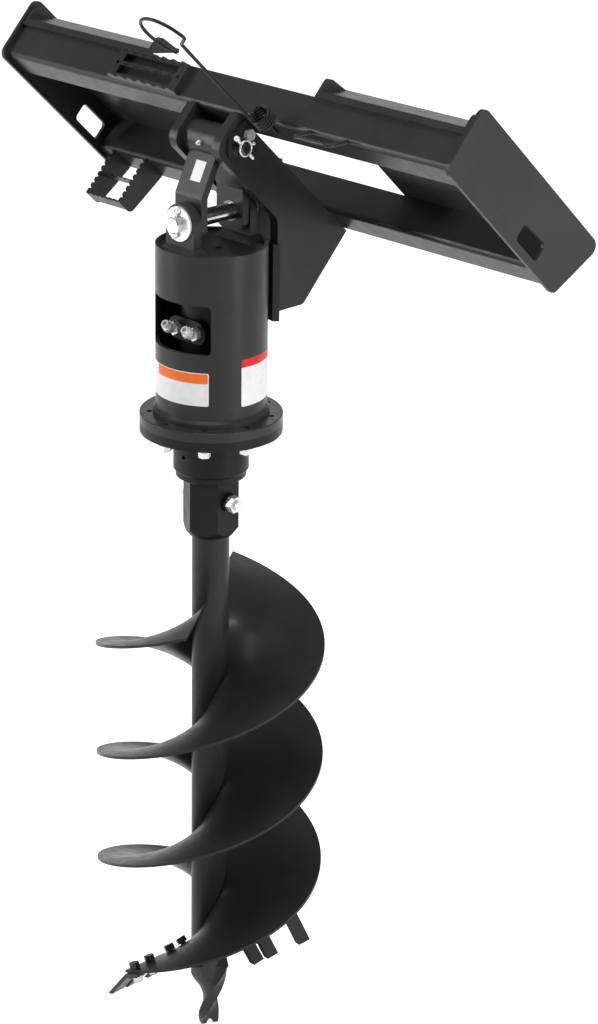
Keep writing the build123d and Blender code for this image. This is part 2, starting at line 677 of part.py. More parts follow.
def bolt_circle(piece):
    """Copies of a piece round the flange's bolt circle, the first towards the front."""
    outer = Pos(0, -FLANGE_PCD / 2, 0) * piece
    return [Rot(0, 0, 360 / FLANGE_BOLTS * k) * outer for k in range(FLANGE_BOLTS)]


def housing_flange():
    plate = rod_z(FLANGE_R, FLANGE_TOP, joint_z)
    inner = HOUSING_R + WELD_GAP
    weld = make_face(Polyline((inner, -FLANGE_TOP), (inner + COLLAR_T, -FLANGE_TOP),
                              (inner + COLLAR_T, -FLANGE_TOP + COLLAR_HEIGHT * 0.6),
                              (inner, -FLANGE_TOP + COLLAR_HEIGHT), close=True))
    collar = revolve(Plane.XZ * weld, Axis.Z)
    bore = rod_z(planet_orbit + planet_r + 2 * GEAR_MODULE, FLANGE_TOP, joint_z)
    plate = fillet(plate.edges().group_by(Axis.Z)[-1], 2)
    return plate + collar - bore - bolt_circle(rod_z(FLANGE_BOLT_R + WELD_GAP, FLANGE_TOP, joint_z))


def gearbox_nose():
    """Flange and nose casting, bored for the output bearings and the shaft seal."""
    step = flange_bottom + NOSE_HEIGHT
    profile = Polyline((0, -joint_z), (FLANGE_R, -joint_z), (FLANGE_R, -flange_bottom),
                       (NOSE_R, -flange_bottom), (NOSE_R, -step + NOSE_STEP),
                       (NOSE_R - NOSE_STEP, -step), (NOSE_END_R, -nose_bottom),
                       (0, -nose_bottom), close=True)
    body = revolve(Plane.XZ * make_face(profile), Axis.Z)
    seal_top = nose_bottom - SEAL_T
    bearing_end = joint_z + 2 * BEARING_T + BEARING_GAP
    bores = rod_z(BEARING_R + WELD_GAP, joint_z, bearing_end)
    bores = bores + rod_z(SHAFT_R + SHAFT_ROOM, joint_z, nose_bottom)
    bores = bores + rod_z(SEAL_R + WELD_GAP, seal_top, nose_bottom)
    drain = Pos(0, 0, -joint_z - DRAIN_DROP) * rod_y(DRAIN_R, -NOSE_R - 1, -BEARING_R + 1)
    return body - bores - drain - bolt_circle(rod_z(FLANGE_BOLT_R + WELD_GAP, joint_z, flange_bottom))


def flange_bolts():
    head = Pos(0, 0, -flange_bottom - FLANGE_BOLT_HEAD) * hex_bar(FLANGE_BOLT_AF, FLANGE_BOLT_HEAD)
    bolt = head + rod_z(FLANGE_BOLT_R, FLANGE_TOP + FLANGE_BOLT_SHORT, flange_bottom)
    return group(bolt_circle(bolt))


# Gear train
def involute(angle):
    return tan(angle) - angle


def gear_outline(teeth, tip, root, thinning):
    """Involute gear outline; a tooth points along +X, and thinning narrows it at the pitch circle."""
    pitch_r = GEAR_MODULE * teeth / 2
    pressure = radians(PRESSURE_ANGLE)
    base = pitch_r * cos(pressure)
    half = pi / (2 * teeth) - thinning / (2 * pitch_r) + involute(pressure)
    start = max(base, root)
    flank = [(start + (tip - start) * k / 2) for k in range(3)]
    half_angles = [half - involute(acos(min(1, base / r))) for r in flank]
    points = []
    for k in range(teeth):
        at = 2 * pi * k / teeth
        rising = [(r, at - a) for r, a in zip(flank, half_angles)]
        falling = [(r, at + a) for r, a in zip(reversed(flank), reversed(half_angles))]
        root_points = [(root, at - half_angles[0])] if root < start else []
        root_after = [(root, at + half_angles[0])] if root < start else []
        points += root_points + rising + falling + root_after
    return make_face(Polyline(*[(r * cos(a), r * sin(a)) for r, a in points], close=True))


def gear(teeth):
    pitch_r = GEAR_MODULE * teeth / 2
    face = gear_outline(teeth, pitch_r + 0.95 * GEAR_MODULE, pitch_r - 1.25 * GEAR_MODULE, GEAR_BACKLASH)
    return extrude(face, amount=GEAR_WIDTH, dir=(0, 0, 1))


def sun_gear():
    """Sun gear with a space facing each planet, on a stub that goes up into the motor."""
    teeth = Rot(0, 0, 90 + 180 / SUN_TEETH) * gear(SUN_TEETH)
    stub = rod_z(SUN_STUB_R, cover_top - MOTOR_FLANGE_T, gear_top)
    return Pos(0, 0, -gear_top - GEAR_WIDTH) * teeth + stub


def planet_angle(k):
    return 90 + 360 / PLANETS * k


def planet_place(k):
    return Rot(0, 0, planet_angle(k)) * Pos(planet_orbit, 0, 0)


def planet_gear(k):
    wheel = gear(PLANET_TEETH) - Pos(0, 0, GEAR_WIDTH / 2) * Cylinder(PLANET_PIN_R + RUN, GEAR_WIDTH)
    return Pos(0, 0, -gear_top - GEAR_WIDTH) * planet_place(k) * wheel


def ring_gear():
    """Internal gear clamped between the cover and the housing flange, a space facing each planet."""
    outer = ring_r + 1.25 * GEAR_MODULE
    spaces = gear_outline(RING_TEETH, outer, ring_r - 0.95 * GEAR_MODULE, -GEAR_BACKLASH)
    depth = FLANGE_TOP - ring_top
    hollow = extrude(Rot(0, 0, 90) * spaces, amount=depth, dir=(0, 0, 1))
    return rod_z(housing_in - WELD_GAP, ring_top, FLANGE_TOP) - Pos(0, 0, -FLANGE_TOP) * hollow


def gearbox_cover():
    disc = rod_z(housing_in - WELD_GAP, cover_top, ring_top)
    return disc - rod_z(SUN_STUB_R + SUN_STUB_CLEAR, cover_top, ring_top)


def output_carrier():
    """Planet carrier with its pins, on the output shaft that ends in a hexagon."""
    disc_r = planet_orbit + PLANET_PIN_R + GEAR_MODULE
    disc = rod_z(disc_r, carrier_top, carrier_top + CARRIER_T - 2 * SIDE_PLAY)
    pins = [planet_place(k) * rod_z(PLANET_PIN_R, gear_top, carrier_top) for k in range(PLANETS)]
    shaft = rod_z(SHAFT_R, carrier_top, nose_bottom)
    hexagon = Pos(0, 0, -nose_bottom - HEX_LENGTH) * hex_bar(HEX_AF, HEX_LENGTH)
    return disc + pins + shaft + hexagon - Pos(0, 0, -hub_top - HUB_BOLT_DROP) * hub_bolt_hole()


def output_bearings():
    end = joint_z + BEARING_T
    ring = rod_z(BEARING_R, joint_z, end) - rod_z(SHAFT_R + RUN, joint_z, end)
    below = Pos(0, 0, -BEARING_T - BEARING_GAP)
    return group([Pos(0, 0, -2 * SIDE_PLAY) * ring, below * ring])


def shaft_seal():
    top = nose_bottom - SEAL_T
    return rod_z(SEAL_R, top, nose_bottom) - rod_z(SHAFT_R + RUN, top, nose_bottom)


# Auger
def hub_bolt_hole():
    return rod_x(HUB_BOLT_R + WELD_GAP, -HUB_AF, HUB_AF)


def hex_hub():
    """Hexagonal coupler with rounded lower corners, a hexagon socket and pads for the cross bolt."""
    corner = HUB_AF / sqrt(3)
    flat = HUB_AF / 2
    rounding = make_face(Polyline((0, -hub_top), (flat, -hub_top), (corner, -hub_top - HUB_ROUND),
                                  (corner, -hub_bottom + 2 * HUB_ROUND), (flat - HUB_ROUND / 2, -hub_bottom),
                                  (0, -hub_bottom), close=True))
    body = Pos(0, 0, -hub_bottom) * hex_bar(HUB_AF, HUB_HEIGHT)
    body = body & revolve(Plane.XZ * rounding, Axis.Z)
    at_bolt = Pos(0, 0, -hub_top - HUB_BOLT_DROP)
    pads = at_bolt * rod_x(HUB_PAD_R, -flat - HUB_PAD_T, flat + HUB_PAD_T)
    socket = Pos(0, 0, -hub_bottom + HUB_FLOOR) * hex_bar(HEX_AF + 2 * HEX_CLEAR, HUB_HEIGHT - HUB_FLOOR)
    return body + pads - socket - at_bolt * hub_bolt_hole()


def hub_bolt():
    seat = HUB_AF / 2 + HUB_PAD_T
    head = Pos(-seat - HUB_NUT_T, 0, 0) * Rot(0, 90, 0) * hex_bar(HUB_BOLT_AF, HUB_NUT_T)
    bolt = head + rod_x(HUB_BOLT_R, -seat, seat + HUB_NUT_T + HUB_BOLT_END)
    nut = Pos(seat, 0, 0) * Rot(0, 90, 0) * hex_bar(HUB_BOLT_AF, HUB_NUT_T)
    nut = nut - rod_x(HUB_BOLT_R + WELD_GAP, 0, 2 * seat)
    at_bolt = Pos(0, 0, -hub_top - HUB_BOLT_DROP)
    return group([at_bolt * bolt, at_bolt * nut])


def auger_pipe():
    return rod_z(PIPE_R, hub_bottom, pipe_bottom) - rod_z(PIPE_R - PIPE_T, hub_bottom, pipe_bottom)


def flight_slope(radius):
    """Slope of a flight at a radius, in degrees."""
    return degrees(atan(FLIGHT_LEAD / (2 * pi * radius)))


def tooth_place(end_angle, radius):
    """Place under a flight near its lower end: x forward along the flight, y outwards."""
    slope = flight_slope(radius)
    back = degrees(TOOTH_BACK_LENGTH * cos(radians(slope)) / radius)
    height = FLIGHT_HEIGHT - FLIGHT_LEAD * back / 360
    turn = Rot(0, 0, end_angle + back - 90)
    return Pos(0, 0, -flight_top - height) * turn * Pos(radius, 0, 0) * Rot(0, 0, -90) * Rot(0, slope, 0)


def flight(end_angle, radii):
    """One helical flight: a ruled face between two helices, thickened along the axis."""
    inner = Helix(FLIGHT_LEAD, FLIGHT_HEIGHT, PIPE_R + WELD_GAP)
    outer = Helix(FLIGHT_LEAD, FLIGHT_HEIGHT, FLIGHT_R)
    face = Face.make_surface_from_curves(inner.edge(), outer.edge())
    sheet = extrude(face, amount=FLIGHT_T, dir=(0, 0, 1))
    sheet = Pos(0, 0, -flight_top - FLIGHT_HEIGHT) * Rot(0, 0, end_angle - 90) * sheet
    places = [tooth_place(end_angle, radius) for radius in radii]
    holes = [place * Cylinder(TOOTH_BOLT_R + WELD_GAP, 6 * FLIGHT_T) for place in places]
    return sheet - holes


def tooth(radius, blade_length):
    """A bolted blade: a pad under the flight and a blade that dips ahead of it to a chisel edge."""
    dip = radians(TOOTH_DIP - flight_slope(radius))
    seat = -TOOTH_SEAT
    front = TOOTH_PAD / 2
    tip = Vector(front + blade_length * cos(dip), seat - blade_length * sin(dip))
    under = Vector(-sin(dip), -cos(dip)) * TOOTH_T
    heel = tip + under - Vector(cos(dip), -sin(dip)) * TOOTH_T
    knee = front - TOOTH_T * tan(dip / 2)
    section = outline(((-front, seat), (front, seat), (tip.X, tip.Y), (heel.X, heel.Y),
                       (knee, seat - TOOTH_T), (-front, seat - TOOTH_T)))
    blade = extrude(Plane.XZ * section, amount=TOOTH_WIDTH / 2, both=True)
    return blade - Cylinder(TOOTH_BOLT_R + WELD_GAP, 6 * TOOTH_T)


def tooth_bolt():
    top = FLIGHT_T + TOOTH_SEAT
    head = Pos(0, 0, top) * hex_bar(TOOTH_BOLT_AF, TOOTH_BOLT_HEAD)
    end = -TOOTH_SEAT - TOOTH_T - TOOTH_BOLT_HEAD - 2
    return head + Pos(0, 0, (top + end) / 2) * Cylinder(TOOTH_BOLT_R, top - end)


def tooth_nut():
    nut = hex_bar(TOOTH_BOLT_AF, TOOTH_BOLT_HEAD) - Cylinder(TOOTH_BOLT_R + WELD_GAP, 4 * TOOTH_BOLT_HEAD)
    return Pos(0, 0, -TOOTH_SEAT - TOOTH_T - TOOTH_BOLT_HEAD) * nut


def pilot_bit():
    """Twisted fishtail bit on a stub below the plug that closes the pipe."""
    spigot = rod_z(PIPE_R - PIPE_T - WELD_GAP, pipe_bottom - PILOT_PLUG, pipe_bottom)
    blade_top = pipe_bottom + PILOT_LENGTH - PILOT_BLADE
    stub = rod_z(PILOT_STUB_R, pipe_bottom, blade_top + PILOT_LAP)
    sections = []
    for k in range(PILOT_STEPS + 1):
        share = k / PILOT_STEPS
        width = PILOT_WIDTH + (PILOT_END_WIDTH - PILOT_WIDTH) * share
        thick = PILOT_T + (PILOT_END_T - PILOT_T) * share
        place = Pos(0, 0, -blade_top - PILOT_BLADE * share) * Rot(0, 0, PILOT_START - PILOT_TWIST * share)
        sections.append(place * Rectangle(width, thick))
    blade = loft(sections)
    tip = Pos(0, 0, -blade_top - PILOT_BLADE) * Rot(0, 0, PILOT_START - PILOT_TWIST)
    notch = Polygon((-PILOT_NOTCH, 0), (PILOT_NOTCH, 0), (0, PILOT_NOTCH), align=None)
    notch = extrude(notch, amount=PILOT_WIDTH, both=True)
    return spigot + stub + blade - tip * Rot(90, 0, 0) * notch


# Steps and hose fittings
def corner_box(x, y, z):
    """A box with one corner at the origin."""
    return Box(x, y, z, align=(Align.MIN, Align.MIN, Align.MIN))


def serrated(length, height):
    """A strip outline with a row of blunt teeth along its upper edge, from the origin along +X."""
    count = int(length // TREAD_PITCH)
    pitch = length / count
    root = height - SERRATION_DEPTH
    points = [(0, 0), (0, root)]
    for k in range(count):
        points += [((k + 0.2) * pitch, root), ((k + 0.35) * pitch, height),
                   ((k + 0.65) * pitch, height), ((k + 0.8) * pitch, root)]
    points += [(length, root), (length, 0)]
    return make_face(Polyline(*points, close=True))


def upper_step():
    """Pressed tread on the upper channel: skirts, two openings and serrated rails."""
    width = UPPER_STEP_WIDTH
    length = UPPER_STEP_LENGTH
    inside = corner_box(length - 2 * STEP_T, width - 2 * STEP_T, UPPER_STEP_HEIGHT - STEP_T)
    tray = corner_box(length, width, UPPER_STEP_HEIGHT) - Pos(STEP_T, STEP_T, 0) * inside
    slot = (width - 3 * UPPER_STEP_RAIL) / 2
    long = length - 2 * UPPER_STEP_MARGIN
    opening = corner_box(long, slot, 2 * UPPER_STEP_HEIGHT)
    rows = (UPPER_STEP_RAIL, 2 * UPPER_STEP_RAIL + slot)
    openings = [Pos(UPPER_STEP_MARGIN, at, 0) * opening for at in rows]
    hole = Cylinder(UPPER_STEP_HOLE_R, 4 * UPPER_STEP_HEIGHT)
    holes = [Pos(at, width / 2, 0) * hole for at in (UPPER_STEP_MARGIN / 2, length - UPPER_STEP_MARGIN / 2)]
    tray = tray - openings - holes
    strip = extrude(Plane.XZ * serrated(length, UPPER_STEP_HEIGHT + SERRATION_DEPTH), amount=-STEP_T)
    rails = [Pos(0, at, 0) * strip for at in (0, width - STEP_T)]
    bar = extrude(Plane.XZ * serrated(long, 2 * SERRATION_DEPTH), amount=-STEP_T)
    rails.append(Pos(UPPER_STEP_MARGIN, (width - STEP_T) / 2, UPPER_STEP_HEIGHT - SERRATION_DEPTH) * bar)
    step = tray + rails
    return on_frame(Pos(UPPER_STEP_X, CHANNEL_TOP, CHANNEL_FRONT + UPPER_STEP_FRONT) * Rot(90, 0, 0) * step)


def lower_step():
    """Open step of upright serrated plates, welded to the front of the lower channel."""
    top = CHANNEL_TOP + CHANNEL_DROP
    front = CHANNEL_FRONT - LOWER_STEP_REACH
    wall = outline(((top, CHANNEL_FRONT), (top, front), (top + LOWER_STEP_END, front),
                    (top + LOWER_STEP_ROOT, CHANNEL_FRONT)), (0, 0, LOWER_STEP_R, 0))
    right = LOWER_STEP_WIDTH - STEP_T
    walls = [slab(wall, at, at + STEP_T) for at in (0, right)]
    heights = ((front, LOWER_STEP_END - LOWER_STEP_R), (front + LOWER_STEP_REACH / 2, LOWER_STEP_END / 2))
    cross = [Pos(0, top, at) * corner_box(LOWER_STEP_WIDTH, high, STEP_T) for at, high in heights]
    step = walls[0] + walls[1] + cross
    tooth_gap = Polygon((-SERRATION / 4, 0), (SERRATION / 4, 0), (0, SERRATION_DEPTH), align=None)
    along_x = extrude(SIDE * (Rot(0, 0, -90) * tooth_gap), amount=2 * LOWER_STEP_WIDTH, dir=(1, 0, 0))
    notches = [Pos(-LOWER_STEP_WIDTH / 2, top, CHANNEL_FRONT - SERRATION * (k + 0.5)) * along_x
               for k in range(int(LOWER_STEP_REACH // SERRATION))]
    along_b = extrude(tooth_gap, amount=LOWER_STEP_REACH, dir=(0, 0, 1))
    notches += [Pos(SERRATION * (k + 0.5), top, front - SERRATION) * along_b
                for k in range(int(LOWER_STEP_WIDTH // SERRATION))]
    return on_frame(Pos(LOWER_STEP_INSET - FRAME_WIDTH / 2, 0, 0) * (step - notches))


def rod_along(points, radius, rod_r):
    """A bent round rod through a list of corner points."""
    path = FilletPolyline(*points, radius=radius)
    profile = Plane(origin=path @ 0, z_dir=path % 0) * Circle(rod_r)
    return sweep(profile, path=path)


def hose_tie_loop():
    """A bent rod welded to the bend of the upper channel."""
    bend = CHANNEL_BEND * (1 - 1 / sqrt(2))
    foot = Vector(0, CHANNEL_TOP + bend + LOOP_ROD_R / 2, CHANNEL_FRONT + bend + LOOP_ROD_R / 2)
    out = Vector(0, -cos(tilt), -sin(tilt)) * LOOP_REACH
    left = Vector(LOOP_X, 0, 0)
    right = left + Vector(LOOP_WIDTH, 0, 0)
    rod = rod_along((foot + left, foot + left + out, foot + right + out, foot + right), LOOP_R, LOOP_ROD_R)
    return on_frame(rod) - channel(CHANNEL_TOP)


def hose_arm_coil():
    """Spring foot of the hose arm: a coil with its tail welded down the front of the channel."""
    helix = Helix(COIL_PITCH, coil_height, COIL_R)
    coil = sweep(Plane(origin=helix @ 0, z_dir=helix % 0) * Circle(ARM_ROD_R), path=helix, is_frenet=True)
    ends = [Pos(*(helix @ at)) * Sphere(COIL_KNOB_R) for at in (0, 1)]
    tail = Pos(COIL_R, 0, -COIL_TAIL / 2) * Cylinder(0.9 * ARM_ROD_R, COIL_TAIL)
    turned = radians(coil_start)
    stand = Plane(origin=(COIL_X, COIL_LOW, COIL_B), x_dir=(cos(turned), 0, sin(turned)), z_dir=(0, -1, 0))
    return on_frame(stand.location * (coil + ends[0] + ends[1] + tail))


def hose_arm():
    """Straight arm up from the coil, with an open ring at the top for the hoses."""
    foot = Vector(arm_x, arm_foot)
    neck = foot - Vector(0, ARM_LENGTH)
    rise = radians(RING_START)
    ring_at = neck + Vector(RING_SIDE + RING_R * cos(rise), -RING_UP - RING_R * sin(rise))
    tangent = Vector(-sin(rise), -cos(rise))
    stem = FilletPolyline(foot, neck, ring_at - tangent * RING_LEAD, ring_at, radius=RING_BEND)
    ring = JernArc(ring_at, tangent, RING_R, -RING_TURN)
    path = Wire([*stem.edges(), *ring.edges()])
    rod = sweep(Plane(origin=path @ 0, z_dir=path % 0) * Circle(ARM_ROD_R), path=path)
    return on_frame(Pos(0, 0, arm_b) * (rod + Pos(*foot) * Sphere(ARM_BALL_R)))


def build():
    """Every piece by its node name."""
    slot_x = FRAME_WIDTH / 2 - LOCK_SLOT_INSET
    runs = ((FLIGHT_END_ANGLE, TEETH_FIRST, FIRST_BLADE),
            (FLIGHT_END_ANGLE - 180, TEETH_SECOND, SECOND_BLADE))
    flights = [flight(end, radii) for end, radii, _ in runs]
    teeth = [tooth_place(end, radius) * tooth(radius, blade) - Pos(0, 0, -WELD_GAP) * sheet
             for (end, radii, blade), sheet in zip(runs, flights) for radius in radii]
    places = [tooth_place(end, radius) for end, radii, _ in runs for radius in radii]
    rear_strap = strap()
    rear_lug = lug()
    nodes = {
        "left_end_plate": end_plate(-FRAME_WIDTH / 2),
        "right_end_plate": end_plate(inner_x),
        "upper_channel": channel(CHANNEL_TOP),
        "lower_channel": channel(CHANNEL_TOP + CHANNEL_DROP),
        "left_hook_lip": hook_lip(-inner_x, -open_x),
        "right_hook_lip": hook_lip(open_x, inner_x),
        "hook_gussets": group([hook_gusset(x) for x in (
            -inner_x, -open_x - GUSSET_T, open_x, inner_x - GUSSET_T)]),
        "left_coupler_plate": coupler_plate(-inner_x, -open_x),
        "right_coupler_plate": coupler_plate(open_x, inner_x),
        "lock_ledges": group([lock_ledge(-inner_x, -open_x, -slot_x), lock_ledge(open_x, inner_x, slot_x)]),
        "left_boom_plate": hang(boom_plate(-boom_out)),
        "right_boom_plate": hang(boom_plate(boom_in) + pin_boss()),
        "cradle_saddle": hang(cradle_saddle()),
        "swing_pin": hang(swing_pin()),
        "keeper_plate": hang(keeper_plate()),
        "keeper_bolt": hang(keeper_bolt()),
        "lynch_pin": hang(lynch_pin()),
        "upper_step": upper_step(),
        "lower_step": lower_step(),
        "hose_tie_loop": hose_tie_loop(),
        "hose_arm_coil": hose_arm_coil(),
        "hose_arm": hose_arm(),
        "knuckle_tube": hang(knuckle_tube()),
        "knuckle_bushes": hang(knuckle_bushes()),
        "front_strap": hang(mirror(rear_strap, about=Plane.XZ)),
        "rear_strap": hang(rear_strap),
        "strap_bushes": hang(strap_bushes()),
        "grease_fitting": hang(grease_fitting()),
        "drive_housing": hang(drive_housing()),
        "top_plate": hang(top_plate()),
        "front_lug": hang(mirror(rear_lug, about=Plane.XZ)),
        "rear_lug": hang(rear_lug),
        "tilt_pin": hang(tilt_pin()),
        "tilt_pin_washers": hang(tilt_washers()),
        "cotter_pins": hang(cotter_pins()),
        "hydraulic_motor": hang(hydraulic_motor()),
        "port_block": hang(port_block()),
        "hose_adapters": hang(hose_adapters()),
        "housing_flange": hang(housing_flange()),
        "gearbox_nose": hang(gearbox_nose()),
        "flange_bolts": hang(flange_bolts()),
        "gearbox_cover": hang(gearbox_cover()),
        "ring_gear": hang(ring_gear()),
        "sun_gear": hang(sun_gear()),
        "output_carrier": hang(output_carrier()),
        "output_bearings": hang(output_bearings()),
        "shaft_seal": hang(shaft_seal()),
        "hex_hub": hang(hex_hub()),
        "hub_bolt": hang(hub_bolt()),
        "auger_pipe": hang(auger_pipe()),
        "first_flight": hang(flights[0]),
        "second_flight": hang(flights[1]),
        "digging_teeth": hang(group(teeth)),
        "tooth_bolts": hang(group([place * tooth_bolt() for place in places])),
        "tooth_nuts": hang(group([place * tooth_nut() for place in places])),
        "pilot_bit": hang(pilot_bit()),
    }
    for k in range(PLANETS):
        nodes[f"planet_gear_{k + 1}"] = hang(planet_gear(k))
    return nodes


os.makedirs("parts", exist_ok=True)
for name, piece in build().items():
    export_step(piece, os.path.join("parts", name + ".step"))
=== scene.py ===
import bpy
import bmesh
from math import cos, pi, radians, sin, sqrt
from mathutils import Matrix, Vector


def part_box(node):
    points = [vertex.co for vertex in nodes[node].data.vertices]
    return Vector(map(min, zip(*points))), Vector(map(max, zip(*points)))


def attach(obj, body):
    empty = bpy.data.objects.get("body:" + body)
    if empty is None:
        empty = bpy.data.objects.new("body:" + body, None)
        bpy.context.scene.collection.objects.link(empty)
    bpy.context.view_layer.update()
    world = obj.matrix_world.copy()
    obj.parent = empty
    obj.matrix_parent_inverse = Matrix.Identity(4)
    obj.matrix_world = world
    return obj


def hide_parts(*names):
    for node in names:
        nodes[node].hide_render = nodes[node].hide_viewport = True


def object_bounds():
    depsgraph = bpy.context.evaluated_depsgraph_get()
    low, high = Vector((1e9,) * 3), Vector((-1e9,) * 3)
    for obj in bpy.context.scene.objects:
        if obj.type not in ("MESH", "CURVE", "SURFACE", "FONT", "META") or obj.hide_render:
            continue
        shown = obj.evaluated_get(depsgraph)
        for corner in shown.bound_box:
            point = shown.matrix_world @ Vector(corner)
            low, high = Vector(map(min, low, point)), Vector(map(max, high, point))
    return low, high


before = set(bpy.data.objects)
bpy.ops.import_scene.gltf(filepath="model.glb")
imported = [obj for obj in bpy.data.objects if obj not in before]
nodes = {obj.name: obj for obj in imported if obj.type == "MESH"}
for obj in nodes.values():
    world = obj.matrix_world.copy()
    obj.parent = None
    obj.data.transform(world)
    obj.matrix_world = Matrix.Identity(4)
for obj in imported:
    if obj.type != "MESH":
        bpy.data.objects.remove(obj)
cad_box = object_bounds()
scene = bpy.context.scene
scene.view_settings.view_transform = "Standard"

# Main places, in metres
SWING_PIN = Vector((0, -0.20911, 0.02293))
HOUSING_R = 0.108
GROUND = cad_box[0][2] - 0.002

# Camera, fitted to the photograph
CAMERA_PLACE = 4.23328, -4.28745, 1.55249
CAMERA_AZIMUTH = radians(44.385)
CAMERA_ELEVATION = radians(21.172)
CAMERA_ROLL = 0.014724   # radians
CAMERA_LENS = 113.13
SENSOR_HEIGHT = 36
VIEW_DEPTH = 100


def set_camera():
    flat = cos(CAMERA_ELEVATION)
    ahead = Vector((-sin(CAMERA_AZIMUTH) * flat, cos(CAMERA_AZIMUTH) * flat, -sin(CAMERA_ELEVATION)))
    level = Vector((cos(CAMERA_AZIMUTH), sin(CAMERA_AZIMUTH), 0))
    right = level * cos(CAMERA_ROLL) + level.cross(ahead) * sin(CAMERA_ROLL)
    up = right.cross(ahead)
    data = bpy.data.cameras.new("camera")
    data.sensor_fit = "VERTICAL"
    data.sensor_height = SENSOR_HEIGHT
    data.lens = CAMERA_LENS
    data.clip_end = VIEW_DEPTH
    camera = bpy.data.objects.new("camera", data)
    scene.collection.objects.link(camera)
    turn = Matrix((right, up, -ahead)).transposed().to_4x4()
    camera.matrix_world = Matrix.Translation(CAMERA_PLACE) @ turn
    scene.camera = camera


# Materials, with scales in waves per metre and depths in metres
CLOUD_SCALE = 9
MOTTLE_SCALE = 45
PEEL_SCALE = 160
PEEL_DEPTH = 0.0004
MARK_SCALE = 300
GRAIN_SCALE = 60
FINE_GRAIN = 10   # times the grain's scale
GRAIN_DEPTH = 0.0003


def new_material(name):
    material = bpy.data.materials.new(name)
    material.use_nodes = True
    tree = material.node_tree
    shader = tree.nodes["Principled BSDF"]
    coords = tree.nodes.new("ShaderNodeTexCoord")
    return material, tree, shader, coords.outputs["Object"]


def noise(tree, coords, scale, detail=3.0, stretch=None):
    """A noise texture in object space."""
    if stretch:
        mapping = tree.nodes.new("ShaderNodeMapping")
        mapping.inputs["Scale"].default_value = stretch
        tree.links.new(coords, mapping.inputs["Vector"])
        coords = mapping.outputs["Vector"]
    node = tree.nodes.new("ShaderNodeTexNoise")
    node.inputs["Scale"].default_value = scale
    node.inputs["Detail"].default_value = detail
    tree.links.new(coords, node.inputs["Vector"])
    return node.outputs["Fac"]


def spread(tree, fac, low, high, start=0.3, end=0.7):
    """Maps values between start and end to the range from low to high."""
    node = tree.nodes.new("ShaderNodeMapRange")
    node.inputs["From Min"].default_value = start
    node.inputs["From Max"].default_value = end
    node.inputs["To Min"].default_value = low
    node.inputs["To Max"].default_value = high
    tree.links.new(fac, node.inputs["Value"])
    return node.outputs["Result"]


def colours(tree, fac, low, high, start=0.35, end=0.65):
    """Blends two colours by a noise value."""
    ramp = tree.nodes.new("ShaderNodeValToRGB")
    ramp.color_ramp.elements[0].position = start
    ramp.color_ramp.elements[0].color = (*low, 1)
    ramp.color_ramp.elements[1].position = end
    ramp.color_ramp.elements[1].color = (*high, 1)
    tree.links.new(fac, ramp.inputs["Fac"])
    return ramp.outputs["Color"]


def bump(tree, shader, fac, strength, distance):
    node = tree.nodes.new("ShaderNodeBump")
    node.inputs["Strength"].default_value = strength
    node.inputs["Distance"].default_value = distance
    tree.links.new(fac, node.inputs["Height"])
    tree.links.new(node.outputs["Normal"], shader.inputs["Normal"])


def grey(value):
    return (value, value, value)


def paint(name, low, high, rough, peel=0.05, gloss=0.2):
    """Sprayed black paint: orange peel, and slow changes of tone and gloss."""
    material, tree, shader, coords = new_material(name)
    cloud = noise(tree, coords, CLOUD_SCALE, 5)
    tree.links.new(colours(tree, cloud, grey(low), grey(high)), shader.inputs["Base Color"])
    mottle = noise(tree, coords, MOTTLE_SCALE, 6)
    tree.links.new(spread(tree, mottle, rough - 0.05, rough + 0.06), shader.inputs["Roughness"])
    bump(tree, shader, noise(tree, coords, PEEL_SCALE, 2), peel, PEEL_DEPTH)
    shader.inputs["Specular IOR Level"].default_value = gloss
    return material


def metal(name, low, high, rough, stretch=None, metallic=1.0, marked=0.08):
    """Bare or plated metal with fine marks."""
    material, tree, shader, coords = new_material(name)
    marks = noise(tree, coords, MARK_SCALE, 6, stretch)
    tree.links.new(colours(tree, marks, low, high), shader.inputs["Base Color"])
    tree.links.new(spread(tree, marks, rough - 0.06, rough + 0.08), shader.inputs["Roughness"])
    bump(tree, shader, marks, marked, GRAIN_DEPTH)
    shader.inputs["Metallic"].default_value = metallic
    return material


def plain(name, low, high, rough, gloss=0.2):
    """A film, rubber or plastic with a faint grain."""
    material, tree, shader, coords = new_material(name)
    grain = noise(tree, coords, GRAIN_SCALE, 5)
    tree.links.new(colours(tree, grain, low, high), shader.inputs["Base Color"])
    tree.links.new(spread(tree, grain, rough - 0.04, rough + 0.05), shader.inputs["Roughness"])
    bump(tree, shader, noise(tree, coords, FINE_GRAIN * GRAIN_SCALE, 2), 0.05, GRAIN_DEPTH)
    shader.inputs["Specular IOR Level"].default_value = gloss
    return material


